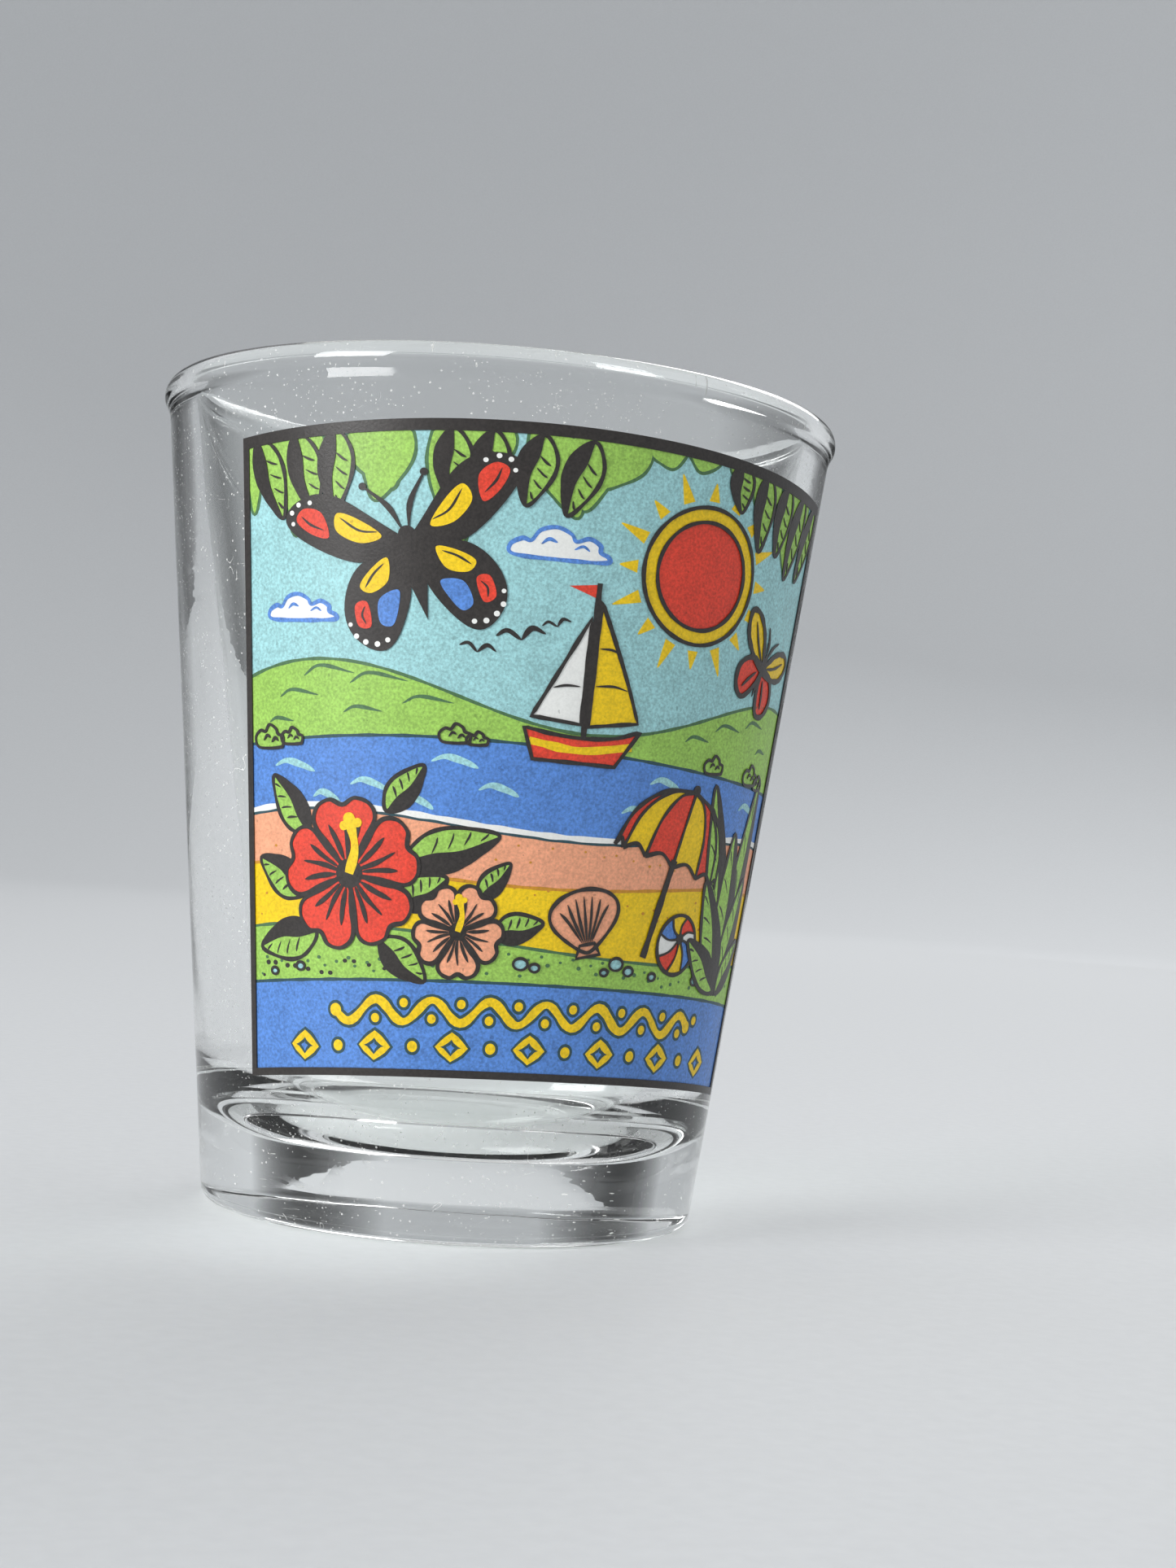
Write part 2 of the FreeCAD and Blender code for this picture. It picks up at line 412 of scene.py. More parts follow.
def stepped(line, closed):
    """The line with its long runs divided, so that they bend round the wall."""
    divided = []
    count = len(line)
    for i in range(count if closed else count - 1):
        run = line[(i + 1) % count] - line[i]
        parts = max(1, math.ceil(run.length / longest_step))
        divided += [line[i] + run * (k / parts) for k in range(parts)]
    return divided if closed else divided + [line[-1]]


def stroke(line, width, closed=False, pointed=False):
    """A hand-cut line of about a given width. If it is open and pointed, it tapers to its ends."""
    line = stepped(line, closed)
    count = len(line)
    points = []
    for i in range(count):
        before = line[i - 1 if closed else max(i - 1, 0)]
        after = line[(i + 1) % count if closed else min(i + 1, count - 1)]
        along = (after - before).normalized()
        x, y = line[i]
        waver = 0.13 * math.sin(2.3 * x + 1.7 * y) + 0.08 * math.sin(4.1 * y - 3.3 * x)
        half = width / 2 * (1 + waver)
        if pointed and not closed:
            half *= tip_share + (1 - tip_share) * math.sin(math.pi * i / (count - 1)) ** 0.6
        aside = Vector((-along.y, along.x)) * half
        points += [line[i] + aside, line[i] - aside]
    faces = []
    for i in range(count if closed else count - 1):
        j = (i + 1) % count
        faces.append([2 * i + 1, 2 * j + 1, 2 * j, 2 * i])
    return points, faces


def printed(name, ink, tops, shapes):
    """One object of flat shapes in one ink, each a thin solid. Tops is one height or one for each."""
    if not isinstance(tops, list):
        tops = [tops] * len(shapes)
    vertices = []
    faces = []
    for (points, flat_faces), top in zip(shapes, tops):
        used = sorted({i for face in flat_faces for i in face})
        index = {old: new for new, old in enumerate(used)}
        first = len(vertices)
        under = first + len(used)
        vertices += [on_wall(points[i], top) for i in used]
        vertices += [on_wall(points[i], top - drawn_film) for i in used]
        rim = {}
        for face in flat_faces:
            ring = [index[i] for i in face]
            spots = [points[i] for i in face]
            area = sum(a.x * b.y - b.x * a.y for a, b in zip(spots[-1:] + spots[:-1], spots))
            if area < 0:
                ring = ring[::-1]
            faces.append([first + i for i in ring])
            faces.append([under + i for i in ring[::-1]])
            for a, b in zip(ring, ring[1:] + ring[:1]):
                if (b, a) in rim:
                    del rim[(b, a)]
                else:
                    rim[(a, b)] = True
        faces += [[first + b, first + a, under + a, under + b] for a, b in rim]
    made = built(name, vertices, faces, inks[ink])
    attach(made, "root")


def ridge(height, swell, waves, start, shift=0.0):
    """The rolling line that a field's top follows, inside the border."""
    reach = half_width * 1.1
    inside = half_width - under_border
    steps = 120
    line = []
    for i in range(steps + 1):
        x = -inside + 2 * inside * i / steps
        share = (x / reach + 1) / 2
        rise = swell * math.sin(2 * math.pi * (start + waves * share))
        line.append(Vector((x, height - drop(x) + rise + shift)))
    return line


# Middle height, swell, number of waves, and where the first wave starts.
field_tops = [
    ("hills_overlap", "green_shadow", (24.6, 2.2, 1.3, 0.05)),
    ("sea_overlap", "blue_shadow", (21.4, 0.4, 0.8, 0.1)),
    ("beach_overlap", "blue_shadow", beach_top),
    ("sand_overlap", "ochre_shadow", (13.2, 0.8, 1.1, 0.2)),
    ("ground_overlap", "green_shadow", (9.0, 0.9, 0.9, 0.15)),
    ("band_overlap", "blue_shadow", (6.2, 0.0, 1.0, 0.0)),
]
for name, ink, field_top in field_tops:
    printed(name, ink, on_fields, [stroke(ridge(*field_top), 0.2)])

# ---- hills ----
# Darker strokes model the hills, where green is printed over blue. Green bushes with black lines
# stand along the shore. All of it is enamel, screened and fired with the fields.
fill_spacing = 0.7
on_shapes = 0.182 * mm
key_top = 0.240 * mm


def flowing(points, closed=False, steps=7):
    """A smooth line through points, as many short runs."""
    count = len(points)
    runs = count if closed else count - 1
    line = []
    for i in range(runs):
        b, c = Vector(points[i]), Vector(points[(i + 1) % count])
        a = Vector(points[i - 1]) if closed or i > 0 else 2 * b - c
        d = Vector(points[(i + 2) % count]) if closed or i + 2 < count else 2 * c - b
        for k in range(steps):
            t = k / steps
            line.append(b + (c - a) * (t / 2) + (2 * a - 5 * b + 4 * c - d) * (t * t / 2)
                        + (3 * b - a - 3 * c + d) * (t ** 3 / 2))
    return line if closed else line + [Vector(points[-1])]


def brushed(points, width, closed=False, pointed=True):
    """A stroke that flows through points."""
    return stroke(flowing(points, closed), width, closed, pointed)


def filled(outline):
    """The inside of a closed outline as triangles small enough to follow the wall."""
    points = stepped(outline, True)
    around = list(range(len(points)))
    across = [p.x for p in points]
    up = [p.y for p in points]
    for column in range(1, int((max(across) - min(across)) / fill_spacing) + 1):
        for row in range(1, int((max(up) - min(up)) / fill_spacing) + 1):
            points.append(Vector((min(across) + column * fill_spacing, min(up) + row * fill_spacing)))
    inside_only = 1
    found, _, faces, _, _, _ = delaunay_2d_cdt(points, [], [around], inside_only, 1e-5)
    return found, faces


def patch(points):
    """The inside of a smooth outline through points."""
    return filled(flowing(points, True))


def put(shapes, x, y, turn=0.0, size=1.0, mirrored=False):
    """Flat shapes, mirrored or not, scaled, turned anticlockwise by degrees, and moved to x and y."""
    side = -1 if mirrored else 1
    spin = Matrix.Rotation(math.radians(turn), 2) @ Matrix.Diagonal((side, 1))
    place = Vector((x, y - drop(x)))
    return [([spin @ (p * size) + place for p in points], faces) for points, faces in shapes]


slope_places = [(-17.2, 24.4, 3.0, 0.5), (-15.0, 25.6, 3.6, 0.7), (-11.6, 25.0, 3.8, 0.7),
                (-8.4, 23.7, 3.2, 0.5), (-12.6, 23.2, 2.6, 0.4), (-18.6, 22.9, 2.0, 0.3),
                (10.2, 22.9, 2.2, 0.4), (13.2, 24.0, 2.8, 0.5), (16.6, 24.8, 2.6, 0.5),
                (18.4, 23.4, 1.8, 0.3)]
slopes = []
for x, y, length, bow in slope_places:
    slope = brushed([(-length / 2, 0.0), (-length / 6, bow), (length / 2, bow * 0.4)], 0.24)
    slopes += put([slope], x, y)
printed("hill_slopes", "green_shadow", on_fields, slopes)

bush = [(-1.0, 0.0), (-1.25, 0.6), (-0.8, 1.05), (-0.35, 1.0), (0.0, 1.45), (0.55, 1.2), (0.75, 0.85),
        (1.2, 0.7), (1.15, 0.1), (0.9, 0.0), (0.0, -0.08)]
bush_folds = [brushed([(-0.5, 0.4), (-0.2, 0.75), (0.1, 0.6)], 0.2),
              brushed([(0.2, 0.3), (0.5, 0.6), (0.8, 0.4)], 0.2)]
bush_places = [(-19.6, 21.4, 1.0), (-17.7, 21.5, 0.7), (-6.6, 21.4, 0.8), (-5.2, 21.3, 0.55),
               (12.2, 21.2, 0.8), (17.2, 21.2, 0.9), (18.8, 21.1, 0.65)]
bushes = []
bush_lines = []
for x, y, size in bush_places:
    bushes += put([patch(bush)], x, y, 0.0, size)
    bush_lines += put([brushed(bush, 0.2 / size, True)] + bush_folds, x, y, 0.0, size)
printed("bushes", "green", on_shapes, bushes)
printed("bush_lines", "black", key_top, bush_lines)

# ---- sea and surf ----
# Light crests on the sea and a white line of surf where it meets the beach, printed in the light
# blue and white enamels. They lie a hair lower than the bushes and flowers that reach over them.
under_shapes = 0.176 * mm
crest_places = [(-17.5, 20.0, 3.2), (-12.0, 18.6, 2.6), (-15.0, 17.9, 2.0), (-6.5, 20.1, 3.0),
                (-3.6, 18.4, 2.6), (8.0, 19.8, 2.6), (6.0, 17.7, 2.4), (17.6, 19.4, 2.6),
                (19.0, 17.6, 1.8), (-8.6, 17.4, 1.8)]
crests = []
for x, y, length in crest_places:
    crest = [(-length / 2, 0.0), (-length / 5, 0.35), (length / 5, 0.1), (length / 2, -0.25)]
    crests += put([brushed(crest, 0.42)], x, y)
printed("sea_crests", "light_blue", under_shapes, crests)
surf = stroke(ridge(*beach_top, shift=0.25), 0.36)
printed("surf_line", "white", under_shapes, [surf])

# ---- sun ----
# A ring and rays of yellow enamel round the red disc, which is part of the red field, with two
# black lines along the ring's edges from the key pass.
panel_height = (panel_top - panel_bottom) / math.cos(taper) / mm
sun_place = (8.6, panel_height - 8.0)
sun_radius = 3.5
ring_width = 0.9
edge_line = 0.26             # the usual width of a line round a shape
ray_start = sun_radius + 1.35
ray_count = 16


def round_spot(x, y, radius, squash=1.0):
    """The points of a circle, or of a lying oval if it is squashed."""
    count = 20
    angles = [2 * math.pi * i / count for i in range(count)]
    return [Vector((x + radius * math.cos(a), y + radius * squash * math.sin(a))) for a in angles]


sun_rays = []
for i in range(ray_count):
    length = 1.9 if i % 2 else 1.2
    ray = flowing([(-0.42, 0.0), (-0.2, length * 0.6), (0.0, length), (0.2, length * 0.6), (0.42, 0.0)])
    points, faces = filled(ray)
    raised = ([p + Vector((0, ray_start)) for p in points], faces)
    sun_rays += put([raised], *sun_place, 360 * i / ray_count)
printed("sun_rays", "yellow", on_fields, sun_rays)
ring_line = flowing(round_spot(0, 0, sun_radius + ring_width / 2), True, 2)
printed("sun_ring", "yellow", on_fields, put([stroke(ring_line, ring_width, True)], *sun_place))
sun_lines = []
for radius in (sun_radius, sun_radius + ring_width + 0.05):
    sun_lines.append(stroke(flowing(round_spot(0, 0, radius), True, 3), edge_line, True))
printed("sun_lines", "black", key_top, put(sun_lines, *sun_place))

# ---- clouds ----
# Two clouds in the sky, of white enamel printed over the light blue, each edged and folded in
# lines of the deep blue.
cloud_outline = [(-3.2, 0.0), (-3.5, 0.7), (-2.7, 1.2), (-2.1, 1.1), (-1.5, 1.9), (-0.4, 2.2), (0.6, 1.8),
                 (1.0, 1.3), (1.9, 1.6), (2.7, 1.2), (2.8, 0.7), (3.4, 0.4), (3.2, 0.0), (0.0, -0.12)]
cloud_folds = [brushed([(-1.4, 0.9), (-0.9, 1.3), (-0.3, 1.1)], edge_line),
               brushed([(0.9, 0.7), (1.5, 1.0), (2.0, 0.7)], edge_line)]
cloud_places = [(-1.1, 33.3, 0.86), (-17.0, 29.4, 0.72)]
cloud_fills = []
cloud_lines = []
for x, y, size in cloud_places:
    cloud_fills += put([patch(cloud_outline)], x, y, 0.0, size)
    cloud_lines += put([brushed(cloud_outline, edge_line / size, True)] + cloud_folds, x, y, 0.0, size)
printed("cloud_fills", "white", on_fields, cloud_fills)
printed("cloud_lines", "deep_blue", on_shapes, cloud_lines)

# ---- gulls ----
# Three far-off gulls, each a pair of brush strokes in black enamel from the key pass.
# They fly across the sky below the upper cloud.
on_details = 0.194 * mm
gulls = []
for x, y, turn, size in ((-3.0, 28.0, 8, 1.0), (-5.6, 27.1, -6, 0.75), (-0.9, 29.0, 14, 0.6)):
    wings = [brushed([(-1.5, 0.35), (-0.8, 0.65), (0.0, 0.0)], 0.34),
             brushed([(0.0, 0.0), (0.7, 0.7), (1.5, 0.3)], 0.34)]
    gulls += put(wings, x, y, turn, size)
printed("gulls", "black", on_details, gulls)

# ---- large butterfly ----
# A butterfly with open wings. Its black silhouette is part of the key print. Windows of yellow,
# red and deep blue, white spots and black veins lie on it, and two feelers reach out of it.
on_key = 0.250 * mm
vein_top = 0.258 * mm
butterfly_place = (-9.6, panel_height - 9.2, 16.0)
wing_windows = {
    "yellow": [[(1.5, 2.3), (2.9, 2.2), (4.2, 3.3), (3.9, 4.4), (2.7, 3.7)],
               [(1.5, 0.9), (2.6, 0.5), (3.6, -0.4), (3.0, -1.0), (1.8, -0.5)]],
    "red": [[(4.8, 3.1), (5.9, 3.6), (6.7, 4.7), (6.0, 5.3), (4.9, 4.7)],
            [(3.4, -1.5), (4.2, -1.5), (4.3, -2.8), (3.5, -3.0)]],
    "deep_blue": [[(1.3, -1.2), (2.6, -1.5), (2.9, -2.9), (2.2, -3.3), (1.6, -2.4)]],
}
wing_spots = [(6.9, 5.3, 0.16), (7.0, 4.6, 0.14), (6.3, 5.65, 0.16), (5.5, 5.55, 0.15), (4.6, -3.4, 0.17),
              (4.1, -3.9, 0.18), (3.4, -4.2, 0.18), (2.7, -4.1, 0.16), (4.8, -2.6, 0.14)]
wing_veins = [[(1.7, 2.6), (2.8, 3.0), (3.8, 4.1)], [(1.8, 0.6), (2.6, 0.1), (3.3, -0.6)],
              [(5.0, 3.6), (5.8, 4.2), (6.3, 4.9)], [(3.6, -1.7), (3.9, -2.2), (3.8, -2.8)]]


def both_sides(shapes, place):
    """Shapes and their mirror images, put in place."""
    return put(shapes, *place) + put(shapes, *place, mirrored=True)


for ink, outlines in wing_windows.items():
    windows = both_sides([patch(outline) for outline in outlines], butterfly_place)
    printed("butterfly_" + ink + "_windows", ink, on_key, windows)
spots = both_sides([filled(round_spot(*spot)) for spot in wing_spots], butterfly_place)
feeler = [brushed([(0.2, 2.4), (0.7, 4.0), (1.9, 5.6)], 0.3), filled(round_spot(1.9, 5.6, 0.24))]
veins = both_sides([brushed(line, 0.16) for line in wing_veins], butterfly_place)
printed("butterfly_spots", "white", on_key, spots)
printed("butterfly_feelers", "black", key_top, both_sides(feeler, butterfly_place))
printed("butterfly_veins", "black", vein_top, veins)

# ---- small butterfly ----
# A smaller butterfly over the hills: yellow fore wings and red hind wings, each a patch of
# enamel, with black edges, veins, feelers and body from the key pass.
small_place = (16.0, 28.6, -24.0, 0.5)
fore_wing = [(0.3, 0.5), (3.4, 0.9), (6.3, 2.6), (7.4, 5.4), (5.4, 6.0), (2.3, 4.1)]
hind_wing = [(0.3, 0.6), (0.7, -2.4), (2.4, -4.9), (4.5, -4.2), (5.3, -1.6), (3.4, 0.6)]
small_body = [(0.55, 0.4), (0.35, 2.6), (-0.35, 2.6), (-0.55, 0.4), (0, -3.6)]
small_lines = [brushed(fore_wing, 0.75, True), brushed(hind_wing, 0.75, True),
               brushed([(0.6, 1.0), (3.2, 2.6), (5.6, 4.8)], 0.4),
               brushed([(1.2, -0.4), (2.4, -2.2), (3.2, -3.8)], 0.4),
               brushed([(0.1, 2.2), (0.8, 4.4), (2.1, 6.0)], 0.5)]
small_black = both_sides(small_lines, small_place) + put([patch(small_body)], *small_place)
printed("small_butterfly_fore_wings", "yellow", on_shapes, both_sides([patch(fore_wing)], small_place))
printed("small_butterfly_hind_wings", "red", on_fields, both_sides([patch(hind_wing)], small_place))
printed("small_butterfly_lines", "black", key_top, small_black)

# ---- hanging leaves ----
# Leaves of green enamel that hang from the panel's top border. Those behind have dark green
# edges. Those in front have one black half, a black edge and veins from the key pass.
leaf_root = 42.0
inside_border = panel_height - 0.75
vein_steps = [(0.29, 0.34), (0.46, 0.34), (0.63, 0.27), (0.80, 0.12)]


def leaf_edge(length, width):
    """The right edge of a leaf that grows up from its foot."""
    return [(0.0, 0.0), (width * 0.42, length * 0.22), (width * 0.5, length * 0.48),
            (width * 0.3, length * 0.78), (0.0, length)]


def leaf_outline(length, width):
    """Both edges of the leaf, all round."""
    right = leaf_edge(length, width)
    return right + [(-x, y) for x, y in right[-2:0:-1]]


def leaf_half(length, width):
    """The dark half, between the right edge and the midrib."""
    midrib = [(0.0, length), (width * 0.1, length * 0.6), (0.0, length * 0.3), (width * 0.02, 0.01)]
    return filled(flowing(leaf_edge(length, width)) + flowing(midrib)[1:-1])


def leaf_ink(length, width, line_width):
    """What the key pass adds to a leaf: its edge, its dark half and its veins."""
    shapes = [brushed(leaf_outline(length, width), line_width, True), leaf_half(length, width)]
    for rise, reach in vein_steps:
        y = length * rise
        bend = (-width * reach * 0.6, y + length * 0.07)
        shapes.append(brushed([(0.0, y), bend, (-width * reach, y + length * 0.1)], 0.14))
    return shapes


def leaves(places, line_width):
    """Blades and key ink of leaves that are given by foot, turn, length and width."""
    blades = []
    ink = []
    for x, y, turn, length, width in places:
        blades += put([patch(leaf_outline(length, width))], x, y, turn)
        ink += put(leaf_ink(length, width, line_width), x, y, turn)
    return blades, ink


def below_border(shapes):
    """Sinks points that reach past the top border's line to it."""
    return [([Vector((p.x, min(p.y, inside_border - drop(p.x)))) for p in points], faces)
            for points, faces in shapes]


back_leaves = [(-20.6, 178, 5.4, 1.2), (-18.6, 196, 4.6, 3.0), (-16.4, 172, 7.4, 2.8),
               (-13.2, 204, 5.0, 3.2), (-11.0, 168, 5.6, 3.0), (-8.2, 188, 8.4, 2.6),
               (-5.2, 158, 4.2, 3.2), (-3.0, 204, 6.6, 2.8), (0.4, 176, 5.6, 3.0),
               (3.2, 150, 4.6, 3.0), (4.6, 198, 2.2, 2.6), (7.6, 168, 1.9, 2.4),
               (10.6, 196, 1.9, 2.6), (13.4, 172, 3.6, 3.0), (16.0, 190, 6.8, 2.8),
               (18.6, 165, 5.0, 2.6)]
back_blades = []
back_edges = []
for x, turn, length, width in back_leaves:
    outline = leaf_outline(length, width)
    back_blades += put([patch(outline)], x, leaf_root, turn)
    back_edges += put([brushed(outline, 0.4, True)], x, leaf_root, turn)
printed("back_leaf_edges", "green_shadow", on_fields, below_border(back_edges))
printed("back_leaf_blades", "green", on_shapes, below_border(back_blades))

front_leaves = [(-20.3, 41.4, 200, 5.6, 2.2), (-17.4, 41.3, 195, 5.4, 2.2), (-14.7, 41.2, 180, 5.2, 2.2),
                (-7.7, 41.0, 181, 4.6, 2.1), (-5.4, 40.9, 174, 4.4, 2.1), (-2.6, 40.8, 170, 4.5, 2.2),
                (0.3, 40.7, 165, 4.9, 2.2), (20.9, 41.4, 160, 6.0, 2.0), (18.3, 41.4, 167, 6.2, 2.0),
                (15.7, 41.4, 174, 5.0, 2.0), (13.1, 41.4, 181, 5.2, 2.0), (10.5, 41.4, 188, 3.2, 2.0)]
leaf_blades, leaf_lines = leaves(front_leaves, 0.24)
printed("hanging_leaf_blades", "green", on_details, below_border(leaf_blades))
printed("hanging_leaf_lines", "black", key_top, below_border(leaf_lines))

# ---- sailing boat ----
# A small boat on the sea: a red hull with a yellow strake, a yellow main sail, a white fore sail
# and a red pennant, all patches of enamel, with edges, mast and seams in black from the key pass.
boat_place = (1.3, 22.3)
strake_top = 0.204 * mm


def corners(points):
    """Points to be joined by straight lines."""
    return [Vector(p) for p in points]


hull = corners([(-3.7, 0.3), (-3.0, -1.7), (2.5, -1.8), (4.1, 0.6)])
hull += flowing([(4.1, 0.6), (2.2, 0.0), (0.0, -0.15), (-2.0, 0.0), (-3.7, 0.3)])[1:-1]
pennant = corners([(0.15, 9.6), (0.15, 8.7), (-1.7, 9.35)])
strake = brushed([(-3.3, -0.55), (0.0, -0.95), (3.6, -0.45)], 0.5, pointed=False)
main_sail = corners([(0.4, 0.6)]) + flowing([(3.8, 1.1), (2.6, 3.9), (0.4, 8.6)])
fore_sail = flowing([(-0.1, 7.5), (-1.9, 3.8), (-3.3, 1.0)]) + corners([(-0.1, 0.7)])
mast = stroke(corners([(0.15, -0.1), (0.15, 9.7)]), 0.34)
sail_seams = [brushed([(0.6, 3.2), (1.8, 3.3), (2.8, 3.1)], 0.16),
              brushed([(0.6, 5.6), (1.4, 5.6), (1.9, 5.4)], 0.16),
              brushed([(-0.4, 3.1), (-1.3, 3.1), (-2.1, 2.9)], 0.16)]
boat_lines = [stroke(outline, edge_line, True) for outline in (hull, main_sail, fore_sail)]
boat_lines += [mast] + sail_seams
printed("boat_hull", "red", on_details, put([filled(hull), filled(pennant)], *boat_place))
printed("boat_strake", "yellow", strake_top, put([strake], *boat_place))
printed("boat_main_sail", "yellow", on_details, put([filled(main_sail)], *boat_place))
printed("boat_fore_sail", "white", on_details, put([filled(fore_sail)], *boat_place))
printed("boat_lines", "black", key_top, put(boat_lines, *boat_place))

# ---- parasol ----
# A beach parasol that leans over the sand, with gores of red and yellow enamel. Its seams, its
# hem, the knob on top and the pole are black, from the key pass.
parasol_place = (9.6, 14.6, -14.0)
parasol_radius = 5.2
gore_count = 6


def gore_edge(lean):
    """The seam from the parasol's rim up to its top."""
    x = parasol_radius * math.cos(lean)
    low = (x * 0.86, parasol_radius * 0.5)
    high = (x * 0.5, parasol_radius * 0.86)
    return flowing([(x, 0.0), low, high, (0.0, parasol_radius)])


gores = {"red": [], "yellow": []}
parasol_lines = []
for i in range(gore_count):
    near = gore_edge(math.pi * i / gore_count)
    far = gore_edge(math.pi * (i + 1) / gore_count)
    dip = Vector(((near[0].x + far[0].x) / 2, parasol_radius * 0.11))
    hem = flowing([far[0], dip, near[0]])
    outline = near + far[-2::-1] + hem[1:-1]
    gores["red" if i % 2 else "yellow"].append(filled(outline))
    parasol_lines += [stroke(near, 0.22), stroke(hem, edge_line)]
last_seam = stroke(gore_edge(math.pi), edge_line)
knob = filled(round_spot(0.0, parasol_radius + 0.15, 0.34))
pole = stroke(corners([(0.0, 0.5), (0.0, -2.5), (0.0, -6.2)]), 0.5)
parasol_lines += [last_seam, knob, pole]
for ink, shapes in gores.items():
    printed("parasol_" + ink + "_gores", ink, on_details, put(shapes, *parasol_place))
printed("parasol_lines", "black", key_top, put(parasol_lines, *parasol_place))

# ---- flowers ----
# Two five-petalled flowers in the lower left, one of red and one of salmon enamel, with yellow
# stamens on a black eye, and green leaves with a black half behind them.
petal_top = 0.206 * mm
petal_count = 5
stamen_lean = 20
petal = [(0.3, 0.35), (1.05, 1.7), (2.15, 3.3), (1.9, 4.3), (0.9, 4.75), (0.0, 4.4), (-0.9, 4.8),
         (-1.9, 4.4), (-2.2, 3.3), (-1.1, 1.7), (-0.3, 0.35)]
petal_folds = [brushed([(0.0, 0.6), (0.12, 2.0), (0.0, 3.5)], 0.34),
               brushed([(0.25, 0.9), (0.65, 2.1), (1.15, 3.2)], 0.34),
               brushed([(-0.25, 0.9), (-0.65, 2.1), (-1.15, 3.2)], 0.34)]
stamen = [brushed([(0.0, 0.0), (0.9, 1.4), (1.1, 3.0)], 0.6, pointed=False)]
stamen += [filled(round_spot(*tip)) for tip in ((1.1, 3.3, 0.42), (0.6, 3.0, 0.3), (1.6, 2.9, 0.3))]
flower_places = [("red", -13.2, 13.0, 8.0, 1.0), ("salmon", -5.6, 9.4, 40.0, 0.62)]
petals = {}
petal_lines = []
eyes = []
stamens = []
for ink, x, y, turn, size in flower_places:
    petals[ink] = []
    for k in range(petal_count):
        bearing = turn + 360 / petal_count * k
        petals[ink] += put([patch(petal)], x, y, bearing, size)
        petal_lines += put([brushed(petal, 0.28 / size, True)] + petal_folds, x, y, bearing, size)
    eyes += put([filled(round_spot(0, 0, 0.95))], x, y, 0, size)
    stamens += put(stamen, x, y, stamen_lean, size)
flower_leaves = [(-16.6, 11.8, 62, 4.4, 2.4), (-15.6, 9.2, 104, 5.0, 2.6), (-10.8, 8.8, 232, 4.0, 2.2),
                 (-9.4, 13.8, 288, 6.4, 2.7), (-9.6, 11.0, 302, 3.6, 2.2), (-16.4, 15.6, 38, 4.6, 2.2),
                 (-3.2, 9.4, 284, 3.4, 1.9), (-10.8, 17.0, 322, 3.8, 1.9), (-4.4, 11.6, 320, 3.0, 1.5)]
flower_blades, flower_leaf_lines = leaves(flower_leaves, edge_line)
printed("flower_leaf_blades", "green", on_shapes, flower_blades)
printed("flower_leaf_lines", "black", on_details, flower_leaf_lines)
for ink, shapes in petals.items():
    printed(ink + "_flower_petals", ink, petal_top, shapes)
printed("petal_lines", "black", key_top, petal_lines)
printed("flower_eyes", "black", key_top, eyes)
printed("stamens", "yellow", on_key, stamens)

# ---- shell and pebbles ----
# A ribbed fan shell of salmon enamel at the edge of the grass, and light blue pebbles along it,
# all with black lines from the key pass.
shell_place = (3.5, 8.7, 12.0)
fan = [(0.5, 0.0), (2.2, 1.5), (2.5, 2.7), (1.6, 3.6), (0.0, 3.95), (-1.6, 3.6), (-2.5, 2.7),
       (-2.2, 1.5), (-0.5, 0.0)]
hinge = corners([(-0.9, -0.45), (0.9, -0.45), (0.55, 0.35), (-0.55, 0.35)])
shell_lines = []
for k in range(-3, 4):
    rib = [(0.12 * k, 0.5), (0.42 * k, 2.0), (0.60 * k, 3.5 - 0.09 * k * k)]
    shell_lines.append(brushed(rib, 0.2))
shell_lines += [brushed(fan, edge_line, True), stroke(hinge, 0.22, True)]
printed("shell", "salmon", on_shapes, put([patch(fan), filled(hinge)], *shell_place))
printed("shell_lines", "black", key_top, put(shell_lines, *shell_place))

pebble_squash = 0.75
pebble_places = [(-1.2, 7.5, 0.5), (-0.2, 7.3, 0.35), (5.9, 7.9, 0.55), (7.0, 7.5, 0.4), (14.0, 7.4, 0.4),
                 (9.2, 7.3, 0.34), (-16.9, 7.1, 0.34), (5.0, 7.3, 0.3), (-19.2, 6.85, 0.3)]
pebbles = []
pebble_lines = []
for x, y, radius in pebble_places:
    pebble = round_spot(0, 0, radius, pebble_squash)
    pebbles += put([filled(pebble)], x, y)
    pebble_lines += put([stroke(pebble, 0.18, True)], x, y)
printed("pebbles", "light_blue", on_shapes, pebbles)
printed("pebble_lines", "black", key_top, pebble_lines)

# ---- beach ball ----
# A ball with bent gores of red, yellow, blue and white enamel that meet at a cap near its middle.
# The cap, the seams and the outline are black, from the key pass.
ball_place = (11.3, 9.6, 24.0)
ball_radius = 2.0
ball_inks = ["red", "yellow", "deep_blue", "white"] * 2
cap_place = (0.35, 0.3)
seam_bend = 0.13


def on_ball_rim(eighths):
    """A point of the ball's outline, some eighths of a turn round."""
    angle = math.pi * eighths / 4
    return Vector((math.cos(angle), math.sin(angle))) * ball_radius


def ball_seam(eighths):
    """A bent seam from the cap to the outline."""
    cap = Vector(cap_place)
    end = on_ball_rim(eighths)
    bend = (end + cap) / 2 + Vector((-end.y, end.x)) * seam_bend
    return flowing([cap, bend, end])


